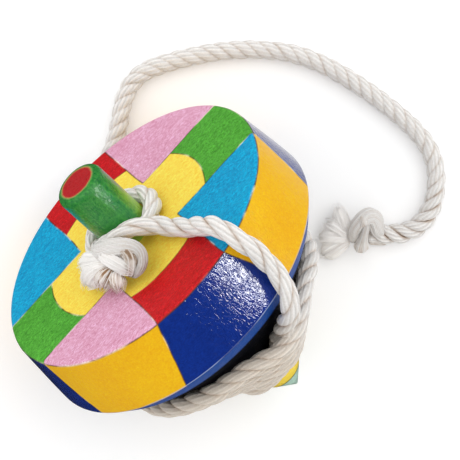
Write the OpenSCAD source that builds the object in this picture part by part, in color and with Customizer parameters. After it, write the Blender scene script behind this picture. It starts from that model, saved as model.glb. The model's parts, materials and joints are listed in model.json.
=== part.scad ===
// Throwing top of painted wood, lying on its side and wound with its rope.
// Millimetres. +Z is up and z = 0 is the table. The top's spin axis lies in the XZ plane.

/* [Disc] */
// Diameter of the flat face
face_d = 72; // [50:0.5:90]
// Diameter of the lower rim, the widest place
rim_d = 75; // [55:0.5:95]
// Height of the painted side wall, from the face to the lower rim
side_h = 17.5; // [10:0.5:30]
// Radius of the rounded face edge and rim edge
edge_r = 1; // [0.4:0.1:2]
// Width and depth of the chamfer under the lower rim
rim_chamfer = 3; // [1:0.25:5]
// Depth of the conical underside, from the chamfer to the spindle
cone_h = 25.5; // [18:0.5:35]

/* [Spindle] */
// Diameter of the dowel
spindle_d = 12; // [8:0.5:18]
// Height of the dowel above the face
spindle_rise = 18.5; // [12:0.5:30]
// Width of the flat top end
top_flat_d = 8.8; // [4:0.2:12]
// Depth of the rounding between the dowel's side and its top end
top_round_h = 1.7; // [0.5:0.1:3]
// Length of the dowel below the underside, down to its taper
spindle_drop = 8; // [6:0.5:20]
// Length of the taper above the point
taper_h = 2; // [1:0.25:6]
// Diameter at the base of the point
point_base_d = 9.6; // [5:0.2:12]
// Length of the cone point
point_h = 5.2; // [2:0.1:8]
// Diameter of the worn flat at the very tip
tip_d = 0.8; // [0.4:0.1:2]

/* [Rope] */
// Diameter of the three-strand rope
rope_d = 4.5; // [3:0.25:6]
// Running clearance between the rope and the wood
rope_gap = 0.3; // [0.2:0.05:0.6]
// Radius of the knot at the hook
hook_knot_r = 5; // [4:0.25:6]
// Radius of the knot at the finger end
end_knot_r = 4.6; // [4:0.2:6]

/* [Resting place] */
// Lean of the spin axis above the table, in degrees
lean = 30; // [28:0.5:34]

/* [Hidden] */
$fn = 96;

face_r = face_d / 2;
rim_r = rim_d / 2;
spindle_r = spindle_d / 2;
rope_r = rope_d / 2;

// Depths below the face, along the spin axis.
chamfer_t = side_h + rim_chamfer;
cone_end_t = chamfer_t + cone_h;
taper_t = cone_end_t + spindle_drop;
point_t = taper_t + taper_h;
tip_t = point_t + point_h;

// The lower rim stands on the table: its rounded edge just touches z = 0.
rim_low_z = -(side_h - edge_r) * sin(lean) - (rim_r - edge_r) * cos(lean) - edge_r;
axis_z = -rim_low_z;

// The rounding at the dowel's top end, as [radius, height above the face].
crown = [for (w = [0:15:90])
    [top_flat_d / 2 + (spindle_r - top_flat_d / 2) * cos(w), spindle_rise - top_round_h * (1 - sin(w))]];

// Reach of the wood along X, measured from the middle of the face.
face_reach = (face_r - edge_r) * sin(lean) + edge_r * (1 - cos(lean));
back_x = -max(concat([face_reach], [for (c = crown) c[1] * cos(lean) + c[0] * sin(lean)]));
front_x = max(tip_t * cos(lean) + tip_d / 2 * sin(lean),
              (side_h - edge_r) * cos(lean) + (rim_r - edge_r) * sin(lean) + edge_r);
axis_x = -(back_x + front_x) / 2;

// Unit direction out of the conical underside, as [radius, depth].
cone_run = rim_r - rim_chamfer - spindle_r;
cone_len = norm([cone_run, cone_h]);
cone_out = [cone_h, cone_run] / cone_len;

// A place on the underside, as [radius, depth]: across mm in from the chamfer, off mm out from the wood.
function on_cone(across, off) =
    [rim_r - rim_chamfer - across, chamfer_t + across * cone_h / cone_run] + off * cone_out;

// Middle of the rope where it touches the underside or the dowel.
seat = rope_r + rope_gap;
hook_r = spindle_r + seat;

// The noose round the dowel lies just clear of the face.
hook_lift = 2.75;

// The winding runs from the dowel out to this far in from the chamfer.
wind_in = 9.8;
wind_outer = on_cone(wind_in, seat);
wind_bend = on_cone(cone_run - 1, seat);
wind_inner = [hook_r, cone_end_t + 3.7];

// The down run passes under the turns here, so that they ride over it in a ridge.
ridge_angle = 15;
ridge_top_r = rope_d - 0.4;
ridge_top = on_cone(10.4, rope_gap + ridge_top_r);
ridge_end_r = rope_d - 1.2;
ridge_end = on_cone(cone_run - 3.5, rope_gap + ridge_end_r);

// Route of the rope from the hook, over the face and down the side, as [up the face, across, height].
face_route = [
    [9.2, 4.4, 3.6], [13.5, 6.5, 3], [18, 8.7, 2.8], [23.4, 11.3, 3.2], [28.9, 13.8, 4.2],
    [32.6, 15.3, 4.1], [35.7, 16.2, 2.2], [37.2, 16.9, -1], [37.1, 17.3, -5], [36.8, 17.1, -9],
    [36.9, 16.7, -13], [37.4, 15.4, -17], [36.6, 13.5, -20.8], [33.9, 11.4, -24.2], [30.5, 9.6, -27],
    [27.3, 8.1, -30]
];

// Route of the free rope on the table, from under the winding to the knot at the finger end.
lie = rope_r + 0.05;
free_route = [
    [-3.8, 1, lie], [-3.8, 5.8, lie], [-2.9, 10.3, lie], [0.1, 14, lie], [4.6, 16, lie],
    [9.2, 15, lie], [12.4, 11.6, lie], [13.4, 7, lie], [12.7, 2.2, lie], [11.3, -2.4, lie],
    [9.4, -7, lie], [6.6, -11, lie], [2.6, -14.4, lie], [-2.4, -17.2, lie], [-7.8, -20, lie],
    [-13.4, -22.2, lie], [-18.8, -22.2, lie], [-23.2, -19.4, lie], [-26.4, -15.2, lie], [-29, -10.4, lie],
    [-30.8, -5.4, lie], [-31.8, 0, lie], [-32.6, 5, lie], [-34.2, 9.6, lie], [-36.6, 13.8, lie],
    [-39.4, 18, lie], [-41.2, 22, lie], [-41.6, 26, lie], [-40.4, 30, lie], [-38, 34.4, lie],
    [-34, 40.6, lie], [-27, 48.8, lie], [-17.5, 56, lie], [-6, 60, lie], [6, 62, lie],
    [14.5, 62.4, lie], [20.5, 61.4, lie], [25, 58.8, lie], [28.6, 54.8, lie], [30.6, 50.8, lie],
    [31, 46.8, lie], [29.4, 42.8, lie], [26.4, 39.6, lie], [23.5, 37.5, lie]
];

// Centres of the rounded masses of the two knots and the two frayed ends.
hook_knot_at = [[11.5, -1.4, 5.4], [15.6, -4.6, 5.3]];
hook_tuft_at = [[12, -8.6, 4.4], [8, -13, 4], [17, -9.4, 4]];
hook_tuft_r = 3.6;
end_knot_at = [[23.4, 37.4, 5], [21, 33.6, 4.8]];
end_tuft_at = [[19.2, 33, 4], [15.4, 27.6, 3.4], [12.4, 32, 3]];
end_tuft_r = [3.2, 2.6, 2.4];

// Places the top's own frame in the world: its face at z = 0 there, its spin axis along +Z there.
module leaned() {
    translate([axis_x, 0, axis_z]) rotate([0, lean - 90, 0]) children();
}

// Points of a round edge, centre c, from angle a to angle b.
function arc(c, r, a, b, steps = 6) =
    [for (i = [0:steps]) let (w = a + (b - a) * i / steps) c + r * [cos(w), sin(w)]];

function unit(v) = v / norm(v);

// Direction of a route at point i.
function heading(p, i) = unit(p[min(i + 1, len(p) - 1)] - p[max(i - 1, 0)]);

// A tube swept along a route, with one ring of points at each point of the route.
module tube(route, r, side_axis, sides = 10) {
    last = len(route) - 1;
    points = [for (i = [0:last])
        let (h = heading(route, i), m = unit(cross(h, side_axis)), n = cross(h, m))
        for (k = [0:sides - 1])
            route[i] + r * (m * cos(360 * k / sides) + n * sin(360 * k / sides))];
    walls = [for (i = [0:last - 1], k = [0:sides - 1])
        let (a = i * sides + k, b = i * sides + (k + 1) % sides)
        [a, b, b + sides, a + sides]];
    near_end = [for (k = [sides - 1:-1:0]) k];
    far_end = [for (k = [0:sides - 1]) last * sides + k];
    polyhedron(points = points, faces = concat([near_end], walls, [far_end]));
}

// Round masses joined into one lump.
module lump(centres, radii) {
    for (i = [0:len(centres) - 2])
        hull() {
            translate(centres[i]) sphere(r = radii[i], $fn = 28);
            translate(centres[i + 1]) sphere(r = radii[i + 1], $fn = 28);
        }
}

module disc() {
    outline = concat(
        [[0, 0]],
        arc([face_r - edge_r, -edge_r], edge_r, 90, 0),
        arc([rim_r - edge_r, edge_r - side_h], edge_r, 0, -45),
        [[rim_r - rim_chamfer, -chamfer_t], [spindle_r, -cone_end_t], [0, -cone_end_t]]
    );
    color("gold") leaned()
        difference() {
            rotate_extrude() polygon(outline);
            translate([0, 0, -cone_end_t - 1]) cylinder(r = spindle_r, h = cone_end_t + 2);
        }
}

module spindle() {
    outline = concat(
        [[0, -tip_t], [tip_d / 2, -tip_t], [point_base_d / 2, -point_t], [spindle_r, -taper_t]],
        crown,
        [[0, spindle_rise]]
    );
    color("seagreen") leaned() rotate_extrude() polygon(outline);
}

module rope_hook_loop() {
    color("linen") leaned()
        translate([0, 0, hook_lift])
            rotate_extrude() translate([hook_r + 0.25, 0]) circle(r = rope_r, $fn = 32);
}

module rope_hook_knot() {
    color("linen") leaned() lump(hook_knot_at, [hook_knot_r, hook_knot_r]);
}

module rope_hook_tuft() {
    color("tan") leaned() {
        lump([hook_tuft_at[0], hook_tuft_at[1]], [hook_tuft_r, hook_tuft_r]);
        lump([hook_tuft_at[0], hook_tuft_at[2]], [hook_tuft_r, hook_tuft_r]);
    }
}

module rope_face_run() {
    color("linen") leaned() tube(face_route, rope_r, [0, 1, 0]);
}

// The stretch that goes down to the dowel under the turns, with the turns that ride over it.
module rope_down_run() {
    ends = [for (e = [ridge_top, ridge_end])
        [e[0] * cos(ridge_angle), e[0] * sin(ridge_angle), -e[1]]];
    color("linen") leaned() lump(ends, [ridge_top_r, ridge_end_r]);
}

// The turns on the underside and round the dowel, as one ring of their outer shape.
module rope_winding() {
    outer_face = atan2(-cone_out[1], cone_out[0]);
    outline = concat(
        arc([wind_outer[0], -wind_outer[1]], rope_r, outer_face + 180, outer_face, 8),
        [[wind_bend[0], -wind_bend[1]] + rope_r * [cone_out[0], -cone_out[1]]],
        arc([wind_inner[0], -wind_inner[1]], rope_r, 0, -180, 8),
        [[wind_bend[0], -wind_bend[1]] - rope_r * [cone_out[0], -cone_out[1]]]
    );
    color("linen") leaned() rotate_extrude() polygon(outline);
}

module rope_free_run() {
    color("linen") tube(free_route, rope_r, [0, 0, 1]);
}

module rope_end_knot() {
    color("linen") lump(end_knot_at, [end_knot_r, end_knot_r]);
}

module rope_end_tuft() {
    color("linen") {
        lump([end_tuft_at[0], end_tuft_at[1]], [end_tuft_r[0], end_tuft_r[1]]);
        lump([end_tuft_at[0], end_tuft_at[2]], [end_tuft_r[0], end_tuft_r[2]]);
    }
}

disc();
spindle();
rope_hook_loop();
rope_hook_knot();
rope_hook_tuft();
rope_face_run();
rope_down_run();
rope_winding();
rope_free_run();
rope_end_knot();
rope_end_tuft();
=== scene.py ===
"""Throwing top of painted wood, lying on its side and wound with its rope, dressed for rendering.

Lengths are in metres, and in millimetres inside the materials.
"""

import json
import math

import bpy
import numpy as np
from mathutils import Matrix


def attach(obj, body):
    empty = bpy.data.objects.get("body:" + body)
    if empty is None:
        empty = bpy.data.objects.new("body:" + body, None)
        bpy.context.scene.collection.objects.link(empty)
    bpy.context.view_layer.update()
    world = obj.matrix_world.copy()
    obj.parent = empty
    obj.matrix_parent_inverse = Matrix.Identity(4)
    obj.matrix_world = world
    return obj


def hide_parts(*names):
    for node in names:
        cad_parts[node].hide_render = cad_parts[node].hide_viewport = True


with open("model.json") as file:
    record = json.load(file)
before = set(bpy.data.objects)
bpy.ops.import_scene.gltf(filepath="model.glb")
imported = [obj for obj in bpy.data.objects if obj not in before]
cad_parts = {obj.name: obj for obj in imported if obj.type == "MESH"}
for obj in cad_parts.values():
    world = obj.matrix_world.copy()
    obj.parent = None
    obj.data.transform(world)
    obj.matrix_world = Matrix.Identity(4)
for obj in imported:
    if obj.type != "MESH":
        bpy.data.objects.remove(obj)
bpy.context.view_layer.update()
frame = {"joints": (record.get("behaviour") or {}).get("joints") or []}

# Sizes of the top and the rope, as in the part's source.
FACE_R = 0.036
RIM_R = 0.0375
SIDE_H = 0.0175
EDGE_R = 0.001
RIM_CHAMFER = 0.003
CONE_H = 0.0255
SPINDLE_R = 0.006
SPINDLE_RISE = 0.0185
TOP_FLAT_R = 0.0044
TOP_ROUND_H = 0.0017
TAPER_T = 0.054
POINT_T = 0.056
TIP_T = 0.0612
POINT_BASE_R = 0.0048
TIP_R = 0.0004
ROPE_D = 0.0045
ROPE_GAP = 0.0003

CHAMFER_T = SIDE_H + RIM_CHAMFER
CONE_END_T = CHAMFER_T + CONE_H
CONE_RUN = RIM_R - RIM_CHAMFER - SPINDLE_R
CONE_LEN = math.hypot(CONE_RUN, CONE_H)
# From the wood to the middle of the rope that lies on it.
SEAT = ROPE_D / 2 + ROPE_GAP
# The rope comes no nearer to the table than this.
OVER_TABLE = 0.0001

# The top's own frame: its face at height 0, x up the face, y across it, height along the dowel.
spin = frame["joints"][0]
FACE_MIDDLE = np.array(spin["pos_m"])
AXIS = np.array(spin["axis"]) / np.linalg.norm(spin["axis"])
UP_FACE = np.array([AXIS[2], 0, -AXIS[0]])
ACROSS = np.array([0, 1, 0])


def leaned(points):
    """Points of the top's own frame, placed in the world."""
    p = np.asarray(points, float)
    return FACE_MIDDLE + p[:, :1] * UP_FACE + p[:, 1:2] * ACROSS + p[:, 2:3] * AXIS


def make_camera():
    data = bpy.data.cameras.new("camera")
    data.sensor_width = 36
    data.lens = 209.7
    camera = bpy.data.objects.new("camera", data)
    camera.location = (-0.0186, 0.0333, 0.6404)
    camera.rotation_euler = (math.radians(-2.33), 0, math.radians(44.2))
    bpy.context.scene.collection.objects.link(camera)
    bpy.context.scene.camera = camera


make_camera()


# ---------------------------------------------------------------- meshes

def add_object(name, points, faces):
    mesh = bpy.data.meshes.new(name)
    mesh.from_pydata([tuple(p) for p in points], [], faces)
    obj = bpy.data.objects.new(name, mesh)
    bpy.context.scene.collection.objects.link(obj)
    mesh.shade_smooth()
    return obj


def lathe(name, outline, steps=192, sharp=50):
    """A turned solid on the top's axis. outline is (radius, height) from the axis round to the axis."""
    points = [(0, 0, outline[0][1])]
    for r, h in outline[1:-1]:
        for k in range(steps):
            a = math.tau * k / steps
            points.append((r * math.cos(a), r * math.sin(a), h))
    points.append((0, 0, outline[-1][1]))
    rings = len(outline) - 2
    last = len(points) - 1
    faces = []
    for k in range(steps):
        n = (k + 1) % steps
        faces.append((0, 1 + k, 1 + n))
        for i in range(rings - 1):
            a, b = 1 + i * steps, 1 + (i + 1) * steps
            faces.append((a + k, b + k, b + n, a + n))
        a = 1 + (rings - 1) * steps
        faces.append((a + k, last, a + n))
    obj = add_object(name, leaned(points), faces)
    obj.data.set_sharp_from_angle(angle=math.radians(sharp))
    own = obj.data.attributes.new("turned", "FLOAT_VECTOR", "POINT")
    own.data.foreach_set("vector", np.asarray(points, np.float32).ravel())
    return obj


def arc(c, r, a, b, steps):
    """Points of a round edge, centre c and radius r, from angle a to angle b."""
    return [(c[0] + r * math.cos(math.radians(a + (b - a) * i / steps)),
             c[1] + r * math.sin(math.radians(a + (b - a) * i / steps))) for i in range(steps + 1)]


def smooth_line(points, step):
    """Evenly spaced points on the natural cubic spline through these points."""
    p = np.asarray(points, float)
    t = np.concatenate([[0], np.cumsum(np.linalg.norm(np.diff(p, axis=0), axis=1))])
    h = np.diff(t)
    n = len(p)
    m = np.eye(n)
    rhs = np.zeros((n, 3))
    for i in range(1, n - 1):
        m[i, i - 1:i + 2] = h[i - 1], 2 * (h[i - 1] + h[i]), h[i]
        rhs[i] = 6 * ((p[i + 1] - p[i]) / h[i] - (p[i] - p[i - 1]) / h[i - 1])
    c = np.linalg.solve(m, rhs)
    fine = np.linspace(0, t[-1], max(int(t[-1] / step) * 4, 8))
    i = np.clip(np.searchsorted(t, fine, side="right") - 1, 0, n - 2)
    a, b, w = (t[i + 1] - fine)[:, None], (fine - t[i])[:, None], h[i][:, None]
    q = (c[i] * a**3 + c[i + 1] * b**3) / (6 * w)
    q = q + (p[i] / w - c[i] * w / 6) * a + (p[i + 1] / w - c[i + 1] * w / 6) * b
    s = np.concatenate([[0], np.cumsum(np.linalg.norm(np.diff(q, axis=0), axis=1))])
    even = np.linspace(0, s[-1], max(int(s[-1] / step), 4) + 1)
    return np.column_stack([np.interp(even, s, q[:, k]) for k in range(3)])


def length_of(line):
    return float(np.linalg.norm(np.diff(line, axis=0), axis=1).sum())


def unit_rows(v):
    return v / np.maximum(np.linalg.norm(v, axis=1, keepdims=True), 1e-12)


def carried_frame(line):
    """(tangent, normal, binormal) at each point, turning no more than the line does."""
    tangent = unit_rows(np.gradient(line, axis=0))
    side = np.array([0.3, 0.2, 1.0])
    normal = np.zeros_like(line)
    for i, t in enumerate(tangent):
        side = side - t * (side @ t)
        side = side / np.linalg.norm(side)
        normal[i] = side
    return tangent, normal, np.cross(tangent, normal)


def wander(rng, count, every, size):
    """count smooth random numbers within about size, with a new one every few steps."""
    knots = rng.uniform(-size, size, count // every + 3)
    at = np.arange(count) / every
    i = at.astype(int)
    f = at - i
    f = f * f * (3 - 2 * f)
    return knots[i] * (1 - f) + knots[i + 1] * f


def tube(base, count, sides, u, v_round):
    """Faces and yarn map of a closed tube. Its points run from base, in sides columns of count points each.

    u is the map along the tube, v_round is the map once round it.
    """
    faces, uvs = [], []
    for j in range(sides):
        a, b = base + j * count, base + (j + 1) % sides * count
        v0, v1 = j / sides * v_round, (j + 1) / sides * v_round
        for i in range(count - 1):
            faces.append((a + i, b + i, b + i + 1, a + i + 1))
            uvs.extend([(u[i], v0), (u[i], v1), (u[i + 1], v1), (u[i + 1], v0)])
    for i in (0, count - 1):
        cap = [base + j * count + i for j in range(sides)]
        faces.append(tuple(cap if i else cap[::-1]))
        uvs.extend([(u[i], 0.5)] * sides)
    return faces, uvs


def add_yarns(name, points, faces, uvs, shades):
    """An object with the map that its yarn lines follow. shades says how brown each point is, painted shade
    included.
    """
    obj = add_object(name, points, faces)
    layer = obj.data.uv_layers.new(name="lay")
    layer.data.foreach_set("uv", np.asarray(uvs, np.float32).ravel())
    depth = obj.data.attributes.new("crevice", "FLOAT", "POINT")
    depth.data.foreach_set("value", np.asarray(shades, np.float32))
    return obj


# A strand in parts of the rope's width: how far out its middle lies, and its half height and half width.
STRAND_OUT = 0.225
STRAND_HIGH = 0.275
STRAND_WIDE = 0.325
STRAND_SIDES = 14
# Painted groove shade between the strands goes from brown to white between these distances from its middle.
GROOVE_BOTTOM = 0.355
GROOVE_TOP = 0.475
# The yarn map of each strand starts this much further on, so that the strands differ.
STRAND_MAP_SHIFT = 0.37


def laid_rope(name, line, lay, width, seed, loose=0.0, taper=0.0):
    """Three-strand right-hand laid rope along line. lay and width are one number, or one for each point.

    loose opens the strands' crowns, taper is the length over which each end closes.
    """
    rng = np.random.default_rng(seed)
    count = len(line)
    lay = np.broadcast_to(np.asarray(lay, float), count)
    width = np.broadcast_to(np.asarray(width, float), count).copy()
    loose = np.broadcast_to(np.asarray(loose, float), count)
    steps = np.concatenate([[0], np.linalg.norm(np.diff(line, axis=0), axis=1)])
    along = np.cumsum(steps)
    if taper:
        near_end = np.minimum(along, along[-1] - along) / taper
        width *= np.sqrt(np.clip(near_end, 0.02, 1))
    turns = np.cumsum(steps / lay)
    tangent, normal, binormal = carried_frame(line)
    points, shades, faces, uvs = [], [], [], []
    for strand in range(3):
        phase = math.tau * (turns + strand / 3) + wander(rng, count, every=22, size=0.10)
        outward = normal * np.cos(phase)[:, None] + binormal * np.sin(phase)[:, None]
        swell = 1 + wander(rng, count, every=9, size=0.035)
        offset = width * (STRAND_OUT + 0.05 * loose)
        # A strand that runs at an angle to the rope takes up more of its length, so it is narrower.
        narrow = np.cos(np.arctan(math.tau * offset / lay))**0.6
        centre = line + outward * offset[:, None]
        heading = unit_rows(np.gradient(centre, axis=0))
        side = unit_rows(np.cross(heading, outward))
        out = np.cross(side, heading)
        u = turns + strand * STRAND_MAP_SHIFT
        strand_faces, strand_uvs = tube(len(points), count, STRAND_SIDES, u, 1)
        faces.extend(strand_faces)
        uvs.extend(strand_uvs)
        for j in range(STRAND_SIDES):
            a = math.tau * j / STRAND_SIDES
            high = width * swell * (STRAND_HIGH - 0.02 * loose) * math.cos(a)
            wide = width * swell * (STRAND_WIDE - 0.05 * loose) * narrow * math.sin(a)
            column = centre + out * high[:, None] + side * wide[:, None]
            column[:, 2] = np.maximum(column[:, 2], OVER_TABLE)
            far = np.linalg.norm(column - line, axis=1) / width
            points.extend(column)
            shades.extend(np.clip((GROOVE_TOP - far) / (GROOVE_TOP - GROOVE_BOTTOM), 0, 1))
    return add_yarns(name, points, faces, uvs, shades)


def one_mesh(name, parts):
    """One object of several parts, each (points, faces, shades of the points, map of the face corners)."""
    points, faces, shades, uvs = [], [], [], []
    for part_points, part_faces, part_shades, part_uvs in parts:
        base = len(points)
        points.extend(part_points)
        faces.extend(tuple(base + i for i in face) for face in part_faces)
        shades.extend(part_shades)
        uvs.extend(part_uvs)
    return add_yarns(name, points, faces, uvs, shades)


# The length of a combed bundle that takes up one unit of its yarn map.
BUNDLE_MAP_LENGTH = 0.015


def combed_body(line, widths, seed, flat=0.8, folds=7, turn=0.06, depth=0.05, ragged=0.0, tan=(0, 0),
                sides=56):
    """A closed bundle of combed yarns along line, as a part for one_mesh, with the columns of its points.

    widths and tan (its brown shade) run from root to tip. turn is the length in which the yarns go round
    once, flat is its height in parts of its width, and depth is that of its folds in parts of its radius.
    ragged is how far, in parts of the length, the tip's outline runs in and out.
    """
    rng = np.random.default_rng(seed)
    count = len(line)
    tangent, normal, binormal = carried_frame(line)
    along = np.concatenate([[0], np.cumsum(np.linalg.norm(np.diff(line, axis=0), axis=1))])
    t = along / along[-1]
    width = np.interp(t, np.linspace(0, 1, len(widths)), widths)
    room = np.minimum(along, along[-1] - along) / (width / 2)
    width = width * np.sqrt(np.clip(1 - (1 - np.clip(room, 0.03, 1))**2, 0, 1))
    brown = np.interp(t, np.linspace(0, 1, len(tan)), tan)
    reach = rng.uniform(-1, 1, sides)
    reach = ragged * (reach + np.roll(reach, 1))
    drift = wander(rng, count, every=12, size=0.5), wander(rng, count, every=9, size=0.8)
    twist = math.tau * along / turn
    points, shades, columns = [], [], []
    for j in range(sides):
        a = math.tau * j / sides
        # Wide folds with finer ones on them. Both go round slower than the yarns and drift a little.
        fold = 0.6 * np.cos(folds * a + twist * folds / 3 + drift[0])
        fold = fold + 0.4 * np.cos((2 * folds + 1) * a + twist * folds / 2 + drift[1])
        radius = width / 2 * (1 + depth * (fold - 1))
        ring = normal * (flat * radius * math.cos(a))[:, None] + binormal * (radius * math.sin(a))[:, None]
        column = line + ring + tangent * (reach[j] * along[-1] * t**3)[:, None]
        columns.append(column)
        points.extend(column)
        # Brown where tan says so, and painted shade adds more down in the folds.
        shades.extend(np.clip(0.7 * brown + (0.1 - fold) * (0.28 + 0.5 * np.abs(brown)), 0, 1))
    faces, uvs = tube(0, count, sides, along / BUNDLE_MAP_LENGTH, folds / 3)
    return (points, faces, shades, uvs), columns


HAIR_R = 0.00009
HAIR_SIDES = 5
HAIR_POINTS = 9
# A hair's tip is this part of its root's radius, and its root lies in this part of the bundle.
HAIR_TIP = 0.3
HAIR_ROOTS = 0.62
# All of a hair takes its colour from one place of the yarn map, this much further on for each hair.
HAIR_MAP_SHIFT = 0.31


def hair_part(hairs):
    """Many tapered hairs as one part for one_mesh. hairs is [(points along it, radius, tan shade)]."""
    points, faces, shades, uvs = [], [], [], []
    for number, (line, root, shade) in enumerate(hairs):
        tangent, normal, binormal = carried_frame(line)
        count = len(line)
        radius = np.linspace(root, root * HAIR_TIP, count)[:, None]
        base = len(points)
        for j in range(HAIR_SIDES):
            a = math.tau * j / HAIR_SIDES
            points.extend(line + radius * (normal * math.cos(a) + binormal * math.sin(a)))
        hair_faces, hair_uvs = tube(base, count, HAIR_SIDES, np.zeros(count), 0)
        faces.extend(hair_faces)
        shades.extend([shade] * (HAIR_SIDES * count))
        uvs.extend([(number * HAIR_MAP_SHIFT, 0.2)] * len(hair_uvs))
    return points, faces, shades, uvs


def stray_hairs(line, columns, number, seed, lift, past, shade):
    """Hairs that follow a combed body's columns, rise off it by up to lift and run past its tip."""
    rng = np.random.default_rng(seed)
    count = len(line)
    hairs = []
    for _ in range(number):
        first = int(rng.integers(1, max(2, int(HAIR_ROOTS * count))))
        path = columns[rng.integers(len(columns))][first:]
        t = np.linspace(0, 1, len(path))
        keep = np.linspace(0, len(path) - 1, HAIR_POINTS).astype(int)
        path, t, middle = path[keep], t[keep][:, None], line[first:][keep]
        heading = line[-1] - line[-4]
        heading = heading / np.linalg.norm(heading)
        sway = rng.normal(0, 0.35, 3) * lift
        path = path + unit_rows(path - middle) * lift * rng.uniform(0, 1) * t
        path = path + heading * past * rng.uniform(-0.5, 1) * t**2 + sway * t**2
        hairs.append((path, HAIR_R * rng.uniform(0.6, 1.3), shade * rng.uniform(0, 1.5)))
    return hairs


# ---------------------------------------------------------------- the rope's route

# Out of the hook's knot and over the noose, in the top's own frame.
HOOK_LEAD = [
    (0.0070, -0.0050, 0.0058), (0.0076, -0.0032, 0.0062), (0.0085, -0.0008, 0.0062), (0.0096, 0.0016, 0.0056),
    (0.0109, 0.0040, 0.0044),
]
# On over the face and down the side, in the top's own frame.
FACE_ROUTE = [
    (0.0135, 0.0065, 0.003), (0.018, 0.0087, 0.0028), (0.0234, 0.0113, 0.0032), (0.0289, 0.0138, 0.0042),
    (0.0326, 0.0153, 0.0041), (0.0357, 0.0162, 0.0022), (0.0372, 0.0169, -0.001), (0.0371, 0.0173, -0.005),
    (0.0368, 0.0171, -0.009), (0.0369, 0.0167, -0.013), (0.0374, 0.0154, -0.017), (0.0366, 0.0135, -0.0208),
    (0.0339, 0.0114, -0.0242), (0.0305, 0.0096, -0.027), (0.0273, 0.0081, -0.030),
]
# The free rope on the table, from under the turns to the finger end's knot.
FREE_ROUTE = [
    (-0.0038, 0.001), (-0.0038, 0.0058), (-0.0029, 0.0103), (0.0001, 0.014), (0.0046, 0.016),
    (0.0092, 0.015), (0.0124, 0.0116), (0.0134, 0.007), (0.0127, 0.0022), (0.0113, -0.0024),
    (0.0094, -0.007), (0.0066, -0.011), (0.0026, -0.0144), (-0.0024, -0.0172), (-0.0078, -0.02),
    (-0.0134, -0.0222), (-0.0188, -0.0222), (-0.0232, -0.0194), (-0.0264, -0.0152), (-0.029, -0.0104),
    (-0.0308, -0.0054), (-0.0318, 0), (-0.0326, 0.005), (-0.0342, 0.0096), (-0.0366, 0.0138),
    (-0.0394, 0.018), (-0.0412, 0.022), (-0.0416, 0.026), (-0.0404, 0.03), (-0.038, 0.0344),
    (-0.034, 0.0406), (-0.027, 0.0488), (-0.0175, 0.056), (-0.006, 0.06), (0.006, 0.062),
    (0.0145, 0.0624), (0.0205, 0.0614), (0.025, 0.0588), (0.0286, 0.0548), (0.0306, 0.0508),
    (0.031, 0.0468), (0.0294, 0.0428), (0.0264, 0.0396), (0.0235, 0.0375),
]
# Height of the free rope's middle.
LIE = 0.0023

# The down run passes under the turns at this angle, and they ride over it in a ridge.
RIDGE_ANGLE = 15
# Where the first crossing and the outermost turn lie, in from the chamfer.
FIRST_CROSSING_IN = 0.0246
WIND_IN = 0.0102
WIND_TURNS = 5 + (180 + RIDGE_ANGLE) / 360
TURN_PITCH = (FIRST_CROSSING_IN - WIND_IN) / (WIND_TURNS - 1)
POINTS_PER_TURN = 24
# The place where the first turn leaves the dowel: distance from the axis, depth and angle.
DOWEL_TURN_R = 0.00855
DOWEL_TURN_T = 0.0497
DOWEL_TURN_ANGLE = -50
# How much of a turn this place is past the ridge.
DOWEL_TURN = (RIDGE_ANGLE - DOWEL_TURN_ANGLE) / 360
# The ridge's half length along a turn, and the widest angle that this half takes up, in radians.
RIDGE_HALF = 0.0135
RIDGE_REACH = 1.35
# From the third turn on, the turns cross the ridge up to this much nearer the rim.
RIDGE_PULL = 0.0042
# How far the turns climb over the ridge, in parts of a rope.
CLIMB_TURNS = [0.5, 1, 2, 3, 4, 5]
CLIMB = [0, 0.5, 0.55, 0.55, 0.6, 0.65]


def on_cone(across, off):
    """(radius, depth) of a place on the underside, across in from the chamfer and off out from the wood."""
    return (RIM_R - RIM_CHAMFER - across + off * CONE_H / CONE_LEN,
            CHAMFER_T + across * CONE_H / CONE_RUN + off * CONE_RUN / CONE_LEN)


def round_axis(radius, angle, depth):
    """A place in the top's own frame, from its radius, its angle in degrees and its depth below the face."""
    a = math.radians(angle)
    return (radius * math.cos(a), radius * math.sin(a), -depth)


def down_run():
    """Under the turns, from the side of the disc down to the dowel and round to the first turn."""
    points = []
    for across in (0.012, 0.016, 0.020, 0.0235):
        radius, depth = on_cone(across, SEAT)
        points.append(round_axis(radius, RIDGE_ANGLE, depth))
    points.append(round_axis(0.0100, RIDGE_ANGLE - 2, 0.0459))
    points.append(round_axis(0.0089, RIDGE_ANGLE - 13, 0.0480))
    points.append(round_axis(DOWEL_TURN_R, RIDGE_ANGLE - 32, 0.0493))
    return points


def turn_place(turn, from_ridge):
    """(radius, depth) of the turns before they climb the ridge, which is from_ridge degrees away."""
    if turn < 1:
        inner_r, inner_t = on_cone(FIRST_CROSSING_IN, SEAT)
        f = (turn - DOWEL_TURN) / (1 - DOWEL_TURN)
        ease = f * f * (3 - 2 * f)
        radius = DOWEL_TURN_R + (inner_r - DOWEL_TURN_R) * ease
        return radius, DOWEL_TURN_T + (inner_t - DOWEL_TURN_T) * ease
    pull = RIDGE_PULL * min(max(turn - 3, 0) / 2, 1) * math.cos(math.radians(from_ridge) / 2)**3
    return on_cone(FIRST_CROSSING_IN - TURN_PITCH * (turn - 1) - pull, SEAT)


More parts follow.
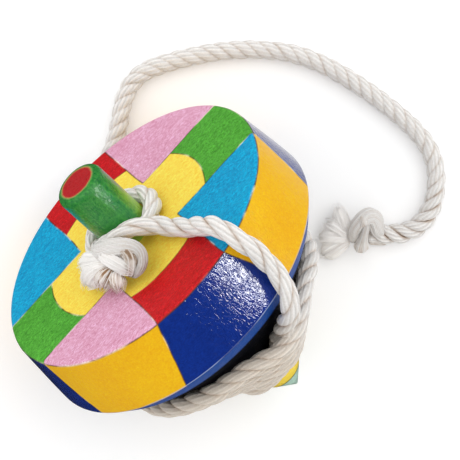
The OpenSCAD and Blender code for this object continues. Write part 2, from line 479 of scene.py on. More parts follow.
def winding():
    """The turns, from the dowel outwards, each riding over the down run."""
    points = []
    for turn in np.arange(DOWEL_TURN, WIND_TURNS - 0.01, 1 / POINTS_PER_TURN):
        from_ridge = abs((360 * turn + 180) % 360 - 180)
        radius, depth = turn_place(turn, from_ridge)
        reach = min(RIDGE_HALF / radius, RIDGE_REACH)
        near = min(math.radians(from_ridge) / reach, 1)
        climb = np.interp(turn, CLIMB_TURNS, CLIMB)
        rise = climb * ROPE_D * 0.5 * (1 + math.cos(math.pi * near))
        points.append(round_axis(radius + rise * CONE_H / CONE_LEN, RIDGE_ANGLE - 360 * turn,
                                 depth + rise * CONE_RUN / CONE_LEN))
    return points


# Lengths between the points along each line.
ROPE_STEP = 0.00055
NOOSE_STEP = 0.0004
KNOT_STEP = 0.0002
wound = leaned(HOOK_LEAD + FACE_ROUTE + down_run() + winding())
free = np.array([(x, y, LIE) for x, y in FREE_ROUTE])
rope_line = smooth_line(np.vstack([wound, free]), ROPE_STEP)
rope_end = length_of(rope_line)
free_from = rope_end - length_of(smooth_line(free, ROPE_STEP))


def along_rope(*places):
    """A value at each point of the rope, from pairs of a distance along it and the value there."""
    distances, values = zip(*places)
    return np.interp(np.linspace(0, rope_end, len(rope_line)), distances, values)


# The wound rope is pulled long, the free rope lies slack with a short lay.
rope_lay = along_rope((0, 0.0205), (0.077, 0.019), (0.102, 0.0148), (free_from - 0.06, 0.0148),
                      (free_from + 0.03, 0.0120), (free_from + 0.09, 0.0102))
rope_width = along_rope((0, 0.0034), (0.005, 0.0040), (0.014, 0.0045), (free_from + 0.05, 0.0045),
                        (free_from + 0.07, 0.0047), (free_from + 0.10, 0.0046), (rope_end - 0.02, 0.0045),
                        (rope_end - 0.012, 0.0048), (rope_end, 0.0046))
# The strands come apart at the finger end.
rope_loose = along_rope((0, 0.15), (rope_end - 0.026, 0), (rope_end - 0.016, 1))
rope = laid_rope("rope", rope_line, rope_lay, rope_width, seed=3, loose=rope_loose)

# The noose round the dowel lies on the face. Its two ends go into the hook's knot.
NOOSE_R = 0.0085
NOOSE_RISE = 0.0025
noose_points = [(NOOSE_R * math.cos(math.radians(a)), NOOSE_R * math.sin(math.radians(a)), NOOSE_RISE)
                for a in range(18, 298, 14)]
noose_line = smooth_line(leaned(noose_points), NOOSE_STEP)
noose = laid_rope("rope_noose", noose_line, lay=0.016, width=0.0043, seed=5, taper=0.001, loose=0.1)

# The hook's knot: a band that turns back in a C, the C's inner turn and the core in its hollow, brown as
# painted shade.
# The first lobe of the frayed end closes the C below.
HOOK_BAND = [
    (0.0082, -0.0026, 0.0060), (0.0074, -0.0049, 0.0061), (0.0079, -0.0065, 0.0062),
    (0.0109, -0.0058, 0.0068), (0.0138, -0.0036, 0.0070), (0.0168, -0.0014, 0.0066),
    (0.0197, -0.0006, 0.0056), (0.0210, -0.0018, 0.0045), (0.0207, -0.0036, 0.0036),
    (0.0193, -0.0052, 0.0029),
]
HOOK_BAND_WIDTHS = [0.0036, 0.0046, 0.0052, 0.0054, 0.0055, 0.0051, 0.0042, 0.0029, 0.0024, 0.0022, 0.0019]
HOOK_INNER = [
    (0.0140, -0.0040, 0.0060), (0.0166, -0.0028, 0.0063), (0.0184, -0.0030, 0.0056),
    (0.0190, -0.0045, 0.0044), (0.0184, -0.0062, 0.0034),
]
HOOK_INNER_WIDTHS = [0.0030, 0.0040, 0.0042, 0.0040, 0.0030]
HOOK_CORE = [(0.0110, -0.0060, 0.0052), (0.0145, -0.0050, 0.0050), (0.0175, -0.0050, 0.0040)]
HOOK_CORE_WIDTHS = [0.0026, 0.0030, 0.0024]


def knot_body(points, widths, seed, place=np.asarray, **look):
    """A combed body through these points, which place puts in the world."""
    return combed_body(smooth_line(place(points), KNOT_STEP), widths, seed, **look)[0]


hook_knot = one_mesh("rope_hook_turns", [
    knot_body(HOOK_BAND, HOOK_BAND_WIDTHS, 8, leaned, flat=0.95, folds=12, turn=0.09, depth=0.055,
              tan=(0, 0, 0.05, 0.5, 1.0), ragged=0.03, sides=96),
    knot_body(HOOK_INNER, HOOK_INNER_WIDTHS, 7, leaned, flat=0.9, folds=9, turn=0.02, depth=0.12,
              tan=(1.3, 1.7)),
    knot_body(HOOK_CORE, HOOK_CORE_WIDTHS, 14, leaned, folds=5, tan=(1.8, 1.8)),
])

# The finger end's knot: a fat turn over the top, a small strand, a drop in front and a strand below.
END_TURN = [
    (0.0261, 0.0391, 0.0026), (0.0238, 0.0396, 0.0046), (0.0219, 0.0405, 0.0056), (0.0206, 0.04, 0.0064),
    (0.0202, 0.038, 0.0066), (0.0205, 0.036, 0.006), (0.0216, 0.0343, 0.0046), (0.0226, 0.0333, 0.0034),
]
END_TURN_WIDTHS = [0.0034, 0.0038, 0.0043, 0.0043, 0.0041, 0.0039, 0.0036, 0.003]
END_DROP = [
    (0.0214, 0.0383, 0.0076), (0.0221, 0.0376, 0.0078), (0.023, 0.0361, 0.0074), (0.0241, 0.0343, 0.0058),
    (0.025, 0.033, 0.0034),
]
END_DROP_WIDTHS = [0.0016, 0.0018, 0.0024, 0.0038, 0.0040]
END_TIE = [(0.0194, 0.0392, 0.0076), (0.0207, 0.0382, 0.0080), (0.0219, 0.0375, 0.0074)]
END_TIE_WIDTHS = [0.0020, 0.0022, 0.0016]
END_UNDER = [(0.0284, 0.039, 0.0018), (0.0267, 0.0374, 0.0018), (0.0248, 0.0358, 0.0018)]
END_UNDER_WIDTHS = [0.0020, 0.0021, 0.0020]
end_knot = one_mesh("rope_end_turns", [
    knot_body(END_TURN, END_TURN_WIDTHS, 10, flat=0.95, folds=9, turn=0.05, depth=0.06,
              tan=(0.2, 0.06, 0.35), sides=80),
    knot_body(END_DROP, END_DROP_WIDTHS, 11, flat=0.9, folds=6, turn=0.05, tan=(0.3, 0.2, 0.6)),
    knot_body(END_TIE, END_TIE_WIDTHS, 12, folds=4, tan=(0.6, 0.6)),
    knot_body(END_UNDER, END_UNDER_WIDTHS, 13, folds=4, tan=(0.5, 0.5)),
])


LOBE_POINTS = 26
# The hairs rise off a lobe by up to the first of these, and run past its tip by up to the second.
HAIR_LIFT = 0.0006
HAIR_PAST = 0.0012


def tuft(name, lobes, seed, place):
    """A frayed end: combed lobes with hairs on them. place puts the lobes' points in the world.

    lobes is [(root, middle, tip, widths, flatness, tan shades, hairs)].
    """
    parts = []
    for number, (root, middle, tip, widths, flat, tan, hairs) in enumerate(lobes):
        t = np.linspace(0, 1, LOBE_POINTS)[:, None]
        root, middle, tip = (np.array(p) for p in (root, middle, tip))
        line = place(root * (1 - t)**2 + 2 * middle * t * (1 - t) + tip * t**2)
        body, columns = combed_body(line, widths, seed + number, flat=flat, folds=11, turn=0.2, depth=0.09,
                                    ragged=0.05, tan=tan, sides=72)
        strays = stray_hairs(line, columns, hairs, seed + number, HAIR_LIFT, HAIR_PAST, 0.5 * max(tan))
        for part in (body, hair_part(strays)):
            low = np.array(part[0])
            low[:, 2] = np.maximum(low[:, 2], OVER_TABLE)
            parts.append((list(low), *part[1:]))
    return one_mesh(name, parts)


HOOK_LOBES = [
    ((0.0090, -0.0070, 0.0062), (0.0146, -0.0066, 0.0072), (0.0194, -0.0052, 0.0048),
     [0.0036, 0.0044, 0.0040, 0.0034], 0.8, (0, 0.2), 130),
    ((0.0118, -0.0076, 0.0052), (0.0076, -0.0096, 0.0054), (0.0030, -0.0124, 0.0040),
     [0.0030, 0.0046, 0.0058, 0.0054], 0.75, (0.05, 0), 150),
    ((0.0124, -0.0078, 0.0050), (0.0094, -0.0112, 0.0050), (0.0080, -0.0144, 0.0030),
     [0.0030, 0.0044, 0.0052, 0.0044], 0.75, (0.2, 0), 140),
    ((0.0140, -0.0076, 0.0048), (0.0140, -0.0098, 0.0046), (0.0130, -0.0120, 0.0028),
     [0.0030, 0.0042, 0.0048, 0.0040], 0.8, (1.8, 1.0), 130),
    ((0.0160, -0.0072, 0.0044), (0.0172, -0.0086, 0.0042), (0.0180, -0.0096, 0.0026),
     [0.0026, 0.0036, 0.0040, 0.0034], 0.8, (1.7, 1.2), 100),
]
hook_fray = tuft("rope_hook_fray", HOOK_LOBES, 21, leaned)
END_LOBES = [
    ((0.0211, 0.0333, 0.0036), (0.0182, 0.0340, 0.0040), (0.0144, 0.0361, 0.0026),
     [0.0026, 0.0036, 0.0036, 0.0022], 0.7, (0.3, 0.05, -0.1), 70),
    ((0.0212, 0.0333, 0.0036), (0.0184, 0.0330, 0.0042), (0.0152, 0.0322, 0.0026),
     [0.0026, 0.0038, 0.0046, 0.0044], 0.7, (0.3, 0.05, -0.1), 70),
    ((0.0213, 0.0332, 0.0036), (0.0190, 0.0316, 0.0040), (0.0162, 0.0286, 0.0026),
     [0.0026, 0.0038, 0.0048, 0.0048], 0.65, (0.3, 0.05, -0.1), 70),
    ((0.0215, 0.0329, 0.0034), (0.0206, 0.0303, 0.0034), (0.0196, 0.0262, 0.0022),
     [0.0026, 0.0038, 0.0048, 0.0050], 0.6, (0.45, 0.15, 0), 70),
]
end_fray = tuft("rope_end_fray", END_LOBES, 31, np.asarray)


# ---------------------------------------------------------------- the turned wood

disc_outline = (
    [(0, 0), (0.006, 0), (0.02, 0), (0.030, 0), (0.0346, 0)]
    + arc((FACE_R - EDGE_R, -EDGE_R), EDGE_R, 90, 0, 8)
    # The side swells a little on its way to the rim.
    + [(FACE_R + 0.0002, -0.003), (FACE_R + 0.0011, -0.0115), (RIM_R - 0.00004, -0.0157)]
    + arc((RIM_R - EDGE_R, EDGE_R - SIDE_H), EDGE_R, 0, -45, 6)
    + [(RIM_R - RIM_CHAMFER, -CHAMFER_T), (0.033, -0.02184), (0.020, -0.03347), (SPINDLE_R, -CONE_END_T),
       (0, -CONE_END_T)]
)
disc = lathe("painted_disc", disc_outline)

crown = [(TOP_FLAT_R + (SPINDLE_R - TOP_FLAT_R) * math.cos(math.radians(w)),
          SPINDLE_RISE - TOP_ROUND_H * (1 - math.sin(math.radians(w)))) for w in range(90, -1, -10)]
spindle_outline = (
    [(0, SPINDLE_RISE), (0.0025, SPINDLE_RISE), (0.0042, SPINDLE_RISE)] + crown
    + [(SPINDLE_R, 0.0162), (SPINDLE_R, 0.008), (SPINDLE_R, 0.0004), (SPINDLE_R, -0.0459),
       (SPINDLE_R, -0.0505), (SPINDLE_R, -0.0536), (SPINDLE_R - 0.0001, -TAPER_T), (0.005, -0.0557),
       (POINT_BASE_R, -POINT_T), (0.0046, -0.0562), (0.0026, -0.0586), (TIP_R, -TIP_T), (0, -TIP_T)]
)
spindle = lathe("painted_spindle", spindle_outline, steps=96)


# ---------------------------------------------------------------- materials

def linear(c):
    """The light of a colour channel of 0 to 255."""
    c = c / 255
    return c / 12.92 if c <= 0.04045 else ((c + 0.055) / 1.055) ** 2.4


def srgb(r, g, b):
    return (linear(r), linear(g), linear(b), 1)


WHITE = srgb(255, 255, 255)
BLACK = srgb(0, 0, 0)


class Graph:
    """A material and the nodes that it is made of."""

    def __init__(self, name):
        self.material = bpy.data.materials.new(name)
        self.material.use_nodes = True
        self.tree = self.material.node_tree
        self.shader = self.tree.nodes["Principled BSDF"]

    def put(self, socket, value):
        if isinstance(value, bpy.types.NodeSocket):
            self.tree.links.new(value, socket)
        else:
            socket.default_value = value

    def set(self, name, value):
        self.put(self.shader.inputs[name], value)

    def math(self, kind, a, b=0.0, c=0.0):
        node = self.tree.nodes.new("ShaderNodeMath")
        node.operation = kind
        for socket, value in zip(node.inputs, (a, b, c)):
            self.put(socket, value)
        return node.outputs[0]

    def add(self, a, b):
        return self.math("ADD", a, b)

    def sub(self, a, b):
        return self.math("SUBTRACT", a, b)

    def mul(self, a, b):
        return self.math("MULTIPLY", a, b)

    def less(self, a, b):
        """The smaller of the two."""
        return self.math("MINIMUM", a, b)

    def more(self, a, b):
        """The larger of the two."""
        return self.math("MAXIMUM", a, b)

    def size(self, a):
        """a without its sign."""
        return self.math("ABSOLUTE", a)

    def rest(self, a):
        """What is left of 1 beside a."""
        return self.math("SUBTRACT", 1, a)

    def distance(self, x, y):
        return self.math("SQRT", self.add(self.mul(x, x), self.mul(y, y)))

    def step(self, value, soft):
        """0 where value is negative, 1 where it is positive, and soft across the edge."""
        node = self.tree.nodes.new("ShaderNodeMath")
        node.operation = "MULTIPLY_ADD"
        node.use_clamp = True
        self.put(node.inputs[0], value)
        node.inputs[1].default_value = 1 / soft
        node.inputs[2].default_value = 0.5
        return node.outputs[0]

    def ramp(self, value, low, high, to_low=0.0, to_high=1.0):
        """to_low where value is low, to_high where it is high, and even between them."""
        node = self.tree.nodes.new("ShaderNodeMapRange")
        for socket, item in zip(node.inputs, (value, low, high, to_low, to_high)):
            self.put(socket, item)
        return node.outputs[0]

    def mix(self, factor, a, b, kind="MIX"):
        node = self.tree.nodes.new("ShaderNodeMix")
        node.data_type = "RGBA"
        node.blend_type = kind
        self.put(node.inputs[0], factor)
        self.put(node.inputs[6], a)
        self.put(node.inputs[7], b)
        return node.outputs[2]

    def noise(self, vector, scale, detail=2.0, distortion=0.0, colour=False):
        node = self.tree.nodes.new("ShaderNodeTexNoise")
        self.put(node.inputs["Vector"], vector)
        node.inputs["Scale"].default_value = scale
        node.inputs["Detail"].default_value = detail
        node.inputs["Distortion"].default_value = distortion
        return node.outputs["Color" if colour else "Fac"]

    def attribute(self, name, output):
        node = self.tree.nodes.new("ShaderNodeAttribute")
        node.attribute_name = name
        return node.outputs[output]

    def coordinates(self, turn=0.0, stretch=(1.0, 1.0, 1.0), turned=True):
        """A place in millimetres: on turned wood in the top's own frame, else in the world at rest."""
        if turned:
            place = self.attribute("turned", "Vector")
        else:
            place = self.tree.nodes.new("ShaderNodeTexCoord").outputs["Object"]
        mapping = self.tree.nodes.new("ShaderNodeMapping")
        mapping.inputs["Rotation"].default_value = (0, 0, math.radians(turn))
        mapping.inputs["Scale"].default_value = [1000 * s for s in stretch]
        self.put(mapping.inputs["Vector"], place)
        return mapping.outputs[0]

    def split(self, vector):
        node = self.tree.nodes.new("ShaderNodeSeparateXYZ")
        self.put(node.inputs[0], vector)
        return node.outputs

    def bump(self, height, distance):
        """The normal of a relief whose height of 0 to 1 is this distance in metres."""
        node = self.tree.nodes.new("ShaderNodeBump")
        node.inputs["Strength"].default_value = 1
        node.inputs["Distance"].default_value = distance
        self.put(node.inputs["Height"], height)
        return node.outputs[0]


PINK = srgb(222, 161, 186)
GREEN = srgb(84, 165, 56)
CYAN = srgb(4, 158, 204)
YELLOW = srgb(249, 219, 82)
RED = srgb(194, 20, 28)
SIDE_YELLOW = srgb(235, 178, 10)
SIDE_BLUE = srgb(8, 44, 130)
NAVY = srgb(16, 72, 152)
# Near-black painted shade over the cone, which lies in the disc's shadow.
CONE_SHADE = srgb(8, 12, 24)
# Painted shade and painted highlight on the paint's ridges where two fields meet.
EDGE_SHADE = srgb(70, 50, 30)
EDGE_HIGHLIGHT = srgb(250, 240, 210)
# Painted highlight along the side's lower edge.
RIM_HIGHLIGHT = srgb(168, 188, 226)

# The painted pattern, in millimetres in the top's own frame: the cross of strips A and B, the ring that it
# carries, and their small offsets.
PATTERN_TURN = -3.8
STRIP_HALF = 10.25
STRIP_A_OFF = -0.15
STRIP_B_OFF = -0.36
RING_R = 22.3
RING_OFF = (-0.4, -0.7)
FACE_R_MM = 36.0
# The blue fields of the side widen by this much on each side for each millimetre of depth.
FAN = 0.31
# The heights where the side, its painted lower highlight, the navy below it and the cone's painted shade
# begin.
SIDE_FROM = -0.55
RIM_HIGHLIGHT_AT = -16.9
NAVY_FROM = -17.2
CONE_SHADE_FROM = -20.9
# The edges of the fields are this soft. They stray by up to half of STRAY across, and half of that in height.
SOFT = 0.12
CONE_SHADE_SOFT = 1.4
STRAY = 1.0
# Added to the distance from an edge where that edge isn't painted.
NO_EDGE = 9


class DiscFields:
    """Where the disc's colour fields lie: 1 inside one and 0 outside, with the distance in from its edge."""

    def __init__(self, g, at):
        x, y, z = g.split(at)
        shaky = g.split(g.noise(at, 0.09, 2.0, colour=True))
        wavy_x = g.add(x, g.mul(g.sub(shaky[0], 0.5), STRAY))
        wavy_y = g.add(y, g.mul(g.sub(shaky[1], 0.5), STRAY))
        self.height = g.add(z, g.mul(g.sub(shaky[2], 0.5), STRAY / 2))
        # The side carries on the pattern of the face's edge, and widens the strips with depth.
        fit = g.math("DIVIDE", FACE_R_MM, g.more(g.distance(x, y), FACE_R_MM))
        half = g.add(STRIP_HALF, g.mul(g.more(g.mul(z, -1), 0), FAN))
        self.in_a = g.sub(half, g.mul(g.size(g.sub(wavy_x, STRIP_A_OFF)), fit))
        self.in_b = g.sub(half, g.mul(g.size(g.sub(wavy_y, STRIP_B_OFF)), fit))
        self.in_ring = g.sub(RING_R, g.distance(g.sub(wavy_x, RING_OFF[0]), g.sub(wavy_y, RING_OFF[1])))
        self.strip_a = g.step(self.in_a, SOFT)
        self.strip_b = g.step(self.in_b, SOFT)
        self.either = g.more(self.strip_a, self.strip_b)
        self.ring = g.step(self.in_ring, SOFT)
        self.same_sign = g.step(g.mul(wavy_x, wavy_y), SOFT)
        self.side = g.step(g.sub(SIDE_FROM, self.height), SOFT)
        self.navy = g.step(g.sub(NAVY_FROM, self.height), SOFT)
        self.cone = g.step(g.sub(CONE_SHADE_FROM, self.height), CONE_SHADE_SOFT)

    def nearest_edge(self, g):
        """The distance to the nearest edge between two painted fields."""
        edge_a = g.add(g.size(self.in_a), g.mul(self.strip_b, NO_EDGE))
        edge_b = g.add(g.size(self.in_b), g.mul(self.strip_a, NO_EDGE))
        edge_ring = g.add(g.size(self.in_ring), g.mul(g.rest(self.either), NO_EDGE))
        edge_side = g.size(g.sub(self.height, SIDE_FROM))
        nearest = g.less(g.less(edge_a, edge_b), edge_side)
        nearest = g.less(nearest, g.add(edge_ring, g.mul(self.side, NO_EDGE)))
        return g.add(nearest, g.mul(self.navy, NO_EDGE))


def field_colours(g, fields):
    """The flat colours of the face and the side."""
    colour = g.mix(fields.same_sign, PINK, CYAN)
    colour = g.mix(fields.strip_b, colour, RED)
    colour = g.mix(fields.strip_a, colour, GREEN)
    colour = g.mix(g.mul(fields.either, fields.ring), colour, YELLOW)
    wall = g.mix(fields.either, SIDE_YELLOW, SIDE_BLUE)
    return g.mix(fields.side, colour, wall)


def edge_shade_and_highlight(g, at, fields, nearest, colour):
    """Where two fields meet: painted shade on the paint's ridge in places, and a painted highlight in the
    others.
    """
    patchy = g.ramp(g.noise(at, 0.16, 2.0), 0.37, 0.53)
    dark = g.mul(g.ramp(nearest, 0.06, 0.24, 1.0, 0.0), patchy)
    colour = g.mix(g.mul(dark, 0.72), colour, EDGE_SHADE)
    pale = g.mul(g.ramp(nearest, 0.12, 0.34, 1.0, 0.0), g.rest(patchy))
    pale = g.mul(pale, g.ramp(fields.strip_b, 0.0, 1.0, 0.5, 0.1))
    return g.mix(pale, colour, EDGE_HIGHLIGHT)


def brush_marks(g, fields, streaks, slow, colour):
    """Fine streaks all over, and the brush's strokes as painted highlight and painted shade, which show most
    on the face.
    """
    tone = g.ramp(g.add(g.mul(streaks, 0.6), g.mul(slow, 0.4)), 0.3, 0.7)
    colour = g.mix(g.mul(tone, 0.13), colour, WHITE, "OVERLAY")
    colour = g.mix(g.mul(g.rest(tone), 0.28), colour, BLACK, "SOFT_LIGHT")
    strokes = g.noise(g.coordinates(turn=31, stretch=(1.25, 0.45, 1.0)), 1.4, 3.0, 2.4)
    brushed = g.ramp(fields.side, 0.0, 1.0, 1.0, 0.3)
    # Painted highlight and painted shade where the brush's relief catches the light.
    stroke_highlight = g.mul(g.ramp(strokes, 0.51, 0.64, 0.0, 0.46), brushed)
    stroke_shade = g.mul(g.ramp(strokes, 0.34, 0.48, 0.5, 0.0), brushed)
    colour = g.mix(stroke_highlight, colour, WHITE, "OVERLAY")
    return g.mix(stroke_shade, colour, BLACK, "SOFT_LIGHT")


def lower_colours(g, fields, slow, colour):
    """The navy below the side, the cone's near-black painted shade, and a painted highlight along the side's
    lower edge.
    """
    colour = g.mix(fields.navy, colour, NAVY)
    colour = g.mix(fields.cone, colour, CONE_SHADE)
    # A painted highlight along the side's lower edge, in patches.
    from_highlight = g.size(g.sub(fields.height, RIM_HIGHLIGHT_AT))
    line = g.mul(g.ramp(from_highlight, 0.06, 0.24, 1.0, 0.0), g.ramp(slow, 0.4, 0.55, 0.2, 0.75))
    return g.mix(line, colour, RIM_HIGHLIGHT)


def painted_disc_material():
    """Brushed lacquer: a cross of two strips with a ring on the face, and eight fields on the side."""
    g = Graph("painted_disc")
    at = g.coordinates(turn=PATTERN_TURN)
    fields = DiscFields(g, at)
    nearest = fields.nearest_edge(g)
    streaks = g.noise(g.coordinates(turn=PATTERN_TURN, stretch=(1.5, 0.42, 0.9)), 1.1, 4.0, 1.6)
    ripples = g.noise(g.coordinates(turn=PATTERN_TURN, stretch=(1.0, 1.0, 0.55)), 0.8, 2.0, 2.2)
    slow = g.noise(at, 0.07, 2.0)
    colour = edge_shade_and_highlight(g, at, fields, nearest, field_colours(g, fields))
    colour = brush_marks(g, fields, streaks, slow, colour)
    g.set("Base Color", lower_colours(g, fields, slow, colour))
    # The blue paint shines more than the rest, and the cone is dull.
    blue = g.mul(g.mul(fields.side, fields.either), g.rest(fields.navy))
    g.set("Roughness", g.add(g.ramp(streaks, 0.3, 0.7, 0.34, 0.5), g.mul(fields.navy, 0.3)))
    g.set("Specular IOR Level", g.sub(0.14, g.mul(g.add(blue, fields.navy), 0.1)))
    g.set("Coat Weight", g.mul(g.ramp(blue, 0.0, 1.0, 0.25, 1.0), g.rest(fields.cone)))
    g.set("Coat Roughness", 0.03)
    relief = g.add(g.mul(streaks, 0.35), g.mul(ripples, 0.8))
    relief = g.add(relief, g.mul(g.ramp(nearest, 0.05, 0.5, 1.0, 0.0), 0.35))
    normal = g.bump(relief, 0.00016)
    g.set("Normal", normal)
    g.set("Coat Normal", normal)
    return g.material


DOWEL_DARK = srgb(17, 108, 44)
DOWEL_LIGHT = srgb(58, 146, 56)
DOWEL_FOOT_SHEEN = srgb(170, 196, 60)
DOWEL_SIDE_SHEEN = srgb(168, 208, 62)
END_RED = srgb(184, 30, 34)
END_RING = srgb(206, 220, 130)
LOWER_YELLOW = srgb(250, 216, 70)
POINT_DARK = srgb(36, 74, 20)
POINT_PALE = srgb(206, 246, 224)

# The dowel's paint in millimetres: the red of the top end, then where the lower end's colours begin.
RED_R = 4.3
RED_FROM = 17.9
RED_RING_R = 4.35
RED_RING_FROM = 17.7
YELLOW_FROM = -46.5
POINT_DARK_FROM = -55.75
POINT_PALE_FROM = -56.15
DOWEL_SOFT = 0.14
DOWEL_STRAY = 0.8


def dowel_green(g, y, z, wavy_z, streaks, mottle):
    """Uneven green, with a painted yellow-green sheen near the face and a painted yellow-green reflection
    along the far side.
    """
    green = g.add(g.mul(streaks, 0.35), g.mul(mottle, 0.65))
    colour = g.mix(g.ramp(green, 0.36, 0.64), DOWEL_DARK, DOWEL_LIGHT)
    # Painted sheen near the face.
    foot_sheen = g.ramp(g.add(wavy_z, g.mul(streaks, 3)), 0.8, 6.5, 0.75, 0.0)
    colour = g.mix(foot_sheen, colour, DOWEL_FOOT_SHEEN)
    # Painted reflection along the dowel's far side.
    thin = g.mul(g.ramp(g.add(y, g.mul(mottle, 2)), 4.8, 7.0), g.ramp(z, 15.5, 5.0))
    return g.mix(g.mul(thin, 0.8), colour, DOWEL_SIDE_SHEEN)


def dowel_ends(g, z, wavy_z, wavy_r, colour):
    """The red top end with a faint ring round it, and the yellow lower end with its green point."""
    red = g.mul(g.step(g.sub(RED_R, wavy_r), DOWEL_SOFT), g.step(g.sub(z, RED_FROM), DOWEL_SOFT))
    colour = g.mix(red, colour, END_RED)
    ring = g.mul(g.ramp(g.size(g.sub(wavy_r, RED_RING_R)), 0.1, 0.45, 1.0, 0.0),
                 g.step(g.sub(z, RED_RING_FROM), DOWEL_SOFT))
    colour = g.mix(g.mul(ring, 0.28), colour, END_RING)
    colour = g.mix(g.step(g.sub(YELLOW_FROM, wavy_z), DOWEL_SOFT), colour, LOWER_YELLOW)
    colour = g.mix(g.step(g.sub(POINT_DARK_FROM, z), DOWEL_SOFT), colour, POINT_DARK)
    return g.mix(g.step(g.sub(POINT_PALE_FROM, z), DOWEL_SOFT), colour, POINT_PALE)


def painted_spindle_material():
    """Green dowel with a red top end, a yellow lower end and a pale green point."""
    g = Graph("painted_spindle")
    at = g.coordinates()
    x, y, z = g.split(at)
    shaky = g.mul(g.sub(g.noise(at, 0.35, 2.0), 0.5), DOWEL_STRAY)
    wavy_z = g.add(z, shaky)
    wavy_r = g.add(g.distance(x, y), shaky)
    streaks = g.noise(g.coordinates(stretch=(2.2, 2.2, 0.22)), 0.8, 4.0, 0.8)
    mottle = g.noise(at, 1.5, 4.0, 0.6)
    colour = dowel_ends(g, z, wavy_z, wavy_r, dowel_green(g, y, z, wavy_z, streaks, mottle))
    g.set("Base Color", g.mix(g.mul(g.ramp(streaks, 0.3, 0.7), 0.2), colour, WHITE, "SOFT_LIGHT"))
    g.set("Roughness", g.ramp(streaks, 0.3, 0.7, 0.26, 0.42))
    g.set("Specular IOR Level", 0.3)
    g.set("Coat Weight", 0.8)
    g.set("Coat Roughness", 0.05)
    relief = g.add(g.mul(streaks, 0.25), g.mul(mottle, 0.7))
    normal = g.bump(relief, 0.00024)
    g.set("Normal", normal)
    g.set("Coat Normal", normal)
    return g.material


COTTON_DARK = srgb(249, 246, 243)
COTTON_LIGHT = srgb(255, 254, 252)
GROOVE_SHADE_TAN = srgb(182, 142, 98)
DEEP_SHADE_BROWN = srgb(128, 88, 46)
YARN_SHADE = srgb(178, 158, 138)
TURNS_SHADE = srgb(236, 224, 208)
FLECK = srgb(196, 168, 134)
GRAIN = srgb(186, 172, 158)


def shaded_grooves(g, crevice, blotch, colour):
    """Painted tan shade down in the grooves, painted brown shade in the deepest ones, and both in patches."""
    groove_shade = g.mul(g.math("POWER", crevice, 1.3), g.ramp(blotch, 0.38, 0.58, 0.35, 1.0))
    colour = g.mix(g.mul(groove_shade, 0.85), colour, GROOVE_SHADE_TAN)
    deep_shade = g.mul(g.ramp(crevice, 0.72, 1.0), g.ramp(blotch, 0.38, 0.58, 0.1, 0.7))
    return g.mix(deep_shade, colour, DEEP_SHADE_BROWN)


def shaded_turns(g, at, colour):
    """The turns round the underside are greyer than the rest, as painted shade where the disc shades them."""
    x, y, z = g.split(at)
    below_x = g.mul(g.sub(1000 * FACE_MIDDLE[0], x), AXIS[0])
    below_z = g.mul(g.sub(1000 * FACE_MIDDLE[2], z), AXIS[2])
    turn_shade = g.mul(g.ramp(g.add(below_x, below_z), 19, 27), g.ramp(y, 16, 4))
    return g.mix(g.mul(turn_shade, 0.8), colour, TURNS_SHADE, "MULTIPLY")


def cotton_material(name, yarns, twist, fibre, shade):
    """Undyed cotton: yarn lines from the strand's own map, painted tan shade in the grooves, soft fibres.

    yarns is how many lines go round a strand, twist slants them, fibre is the relief in metres and shade is
    how dark the painted shade between the yarns is, and how strong the grain.
    """
    g = Graph(name)
    lay = g.tree.nodes.new("ShaderNodeUVMap")
    lay.uv_map = "lay"
    u, v, _ = g.split(lay.outputs[0])
    crevice = g.attribute("crevice", "Fac")
    at = g.coordinates(turned=False)
    blotch = g.noise(at, 0.35, 3.0)
    fuzz = g.noise(at, 4.5, 3.0, 1.0)
    lines = g.add(g.mul(v, yarns), g.mul(u, yarns * twist))
    lines = g.add(lines, g.mul(fuzz, 0.5))
    wave = g.ramp(g.math("SINE", g.mul(lines, math.tau)), -1, 1)
    colour = g.mix(blotch, COTTON_DARK, COTTON_LIGHT)
    colour = shaded_grooves(g, crevice, blotch, colour)
    # Painted shade in the lines between the yarns.
    colour = g.mix(g.mul(g.rest(wave), shade), colour, YARN_SHADE)
    colour = shaded_turns(g, at, colour)
    fleck = g.ramp(g.noise(at, 1.7, 2.0), 0.66, 0.74)
    colour = g.mix(g.mul(fleck, 0.22), colour, FLECK)
    grain = g.ramp(g.noise(at, 2.6, 2.0, 0.8), 0.36, 0.58, 1.0, 0.0)
    g.set("Base Color", g.mix(g.mul(grain, 0.6 * shade), colour, GRAIN))
    g.set("Roughness", 0.9)
    g.set("Sheen Weight", 0.3)
    g.set("Sheen Roughness", 0.5)
    g.set("Specular IOR Level", 0.15)
    relief = g.add(g.mul(wave, 0.6), g.mul(fuzz, 0.6))
    g.set("Normal", g.bump(relief, fibre))
    return g.material


cotton = cotton_material("cotton_rope", yarns=7, twist=1.6, fibre=0.0003, shade=0.25)
cotton_knot = cotton_material("cotton_knot", yarns=11, twist=0.12, fibre=0.00022, shade=0.2)
cotton_ends = cotton_material("cotton_fray", yarns=6, twist=0.0, fibre=0.00004, shade=0.0)
disc.data.materials.append(painted_disc_material())
spindle.data.materials.append(painted_spindle_material())
for piece in (rope, noose):
    piece.data.materials.append(cotton)
for piece in (hook_knot, end_knot):
    piece.data.materials.append(cotton_knot)
for piece in (hook_fray, end_fray):
    piece.data.materials.append(cotton_ends)


# ---------------------------------------------------------------- what each piece is

def belongs(obj, body, slot, *nodes):
    """obj rides on this body and stands for these CAD nodes. slot is not used."""
    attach(obj, body)
    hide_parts(*nodes)


belongs(disc, "top", "paint", "disc")
belongs(spindle, "top", "spindle_paint", "spindle")
belongs(rope, "rope", "rope", "rope_face_run", "rope_down_run", "rope_winding", "rope_free_run")
belongs(noose, "rope", "rope", "rope_hook_loop")
belongs(hook_knot, "rope", "rope", "rope_hook_knot")
belongs(hook_fray, "rope", "rope", "rope_hook_tuft")
belongs(end_knot, "rope", "rope", "rope_end_knot")
belongs(end_fray, "rope", "rope", "rope_end_tuft")


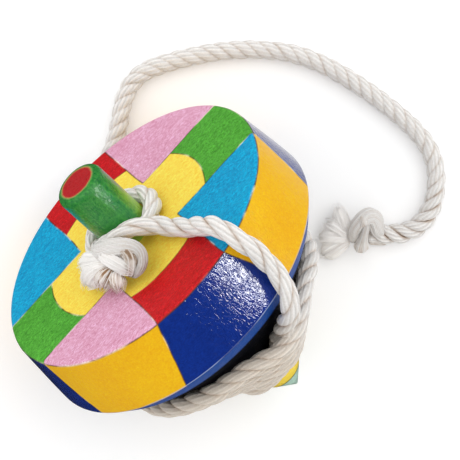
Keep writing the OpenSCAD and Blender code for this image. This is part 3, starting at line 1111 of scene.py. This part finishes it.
# ---------------------------------------------------------------- floor and light

FLOOR_HALF = 3.0
FLOOR_Z = -0.0002
FLOOR_WHITE = srgb(250, 250, 250)
FLOOR_DARK = srgb(40, 40, 40)


def floor_material():
    """White, and a little whiter to the camera.

    Glossy paint sees a white stretch of it beyond the top, and dark elsewhere.
    """
    g = Graph("floor")
    path = g.tree.nodes.new("ShaderNodeLightPath")
    x, y, _ = g.split(g.coordinates(turned=False))
    beyond = g.mul(g.ramp(y, 15, 35), g.ramp(y, 95, 75))
    beyond = g.mul(beyond, g.ramp(x, -45, -25))
    glossy = g.mix(beyond, FLOOR_DARK, FLOOR_WHITE)
    g.set("Base Color", g.mix(path.outputs["Is Glossy Ray"], FLOOR_WHITE, glossy))
    g.set("Roughness", 0.9)
    g.set("Specular IOR Level", 0.0)
    g.set("Emission Color", (1, 1, 1, 1))
    g.set("Emission Strength", g.mul(path.outputs["Is Camera Ray"], 0.1))
    return g.material


floor = add_object("floor", [
    (-FLOOR_HALF, -FLOOR_HALF, FLOOR_Z), (FLOOR_HALF, -FLOOR_HALF, FLOOR_Z),
    (FLOOR_HALF, FLOOR_HALF, FLOOR_Z), (-FLOOR_HALF, FLOOR_HALF, FLOOR_Z),
], [(0, 1, 2, 3)])
floor.data.materials.append(floor_material())


def area_light(name, place, target, size, watts):
    """A round light of this size, shining from place towards target."""
    data = bpy.data.lights.new(name, "AREA")
    data.shape = "DISK"
    data.size = size
    data.energy = watts
    light = bpy.data.objects.new(name, data)
    back = np.array(place, float) - np.array(target, float)
    back = back / np.linalg.norm(back)
    side = np.cross([0.1, 0.2, 1], back)
    side = side / np.linalg.norm(side)
    turn = Matrix(np.column_stack([side, np.cross(back, side), back])).to_4x4()
    light.matrix_world = Matrix.Translation(place) @ turn
    bpy.context.scene.collection.objects.link(light)
    return light


area_light("key", (-0.25, 0.75, 1.4), (0, 0, 0.03), 1.8, 5.6)
area_light("far_fill", (0.6, 0.8, 1.0), (0.01, 0.03, 0), 1.4, 2.8)
area_light("fill", (-0.9, -0.5, 0.9), (0, 0, 0.03), 1.8, 4.2)
# A small light for the highlight in glossy paint. It adds nothing to dull surfaces.
glint = area_light("glint", (0.452, 0.335, 0.368), (0.008, 0.011, 0.067), 0.17, 2.2)
glint.visible_diffuse = False

# The air lights everything evenly, and glossy paint sees it nearly dark.
AIR_LIGHT = 0.84
AIR_IN_GLOSS = 0.05


def studio_world():
    world = bpy.data.worlds.new("studio")
    bpy.context.scene.world = world
    world.use_nodes = True
    background = world.node_tree.nodes["Background"]
    background.inputs["Color"].default_value = (1, 1, 1, 1)
    ray = world.node_tree.nodes.new("ShaderNodeLightPath")
    seen = world.node_tree.nodes.new("ShaderNodeMapRange")
    seen.inputs["To Min"].default_value = AIR_LIGHT
    seen.inputs["To Max"].default_value = AIR_IN_GLOSS
    world.node_tree.links.new(ray.outputs["Is Glossy Ray"], seen.inputs["Value"])
    world.node_tree.links.new(seen.outputs[0], background.inputs["Strength"])


studio_world()
bpy.context.scene.view_settings.view_transform = "Standard"
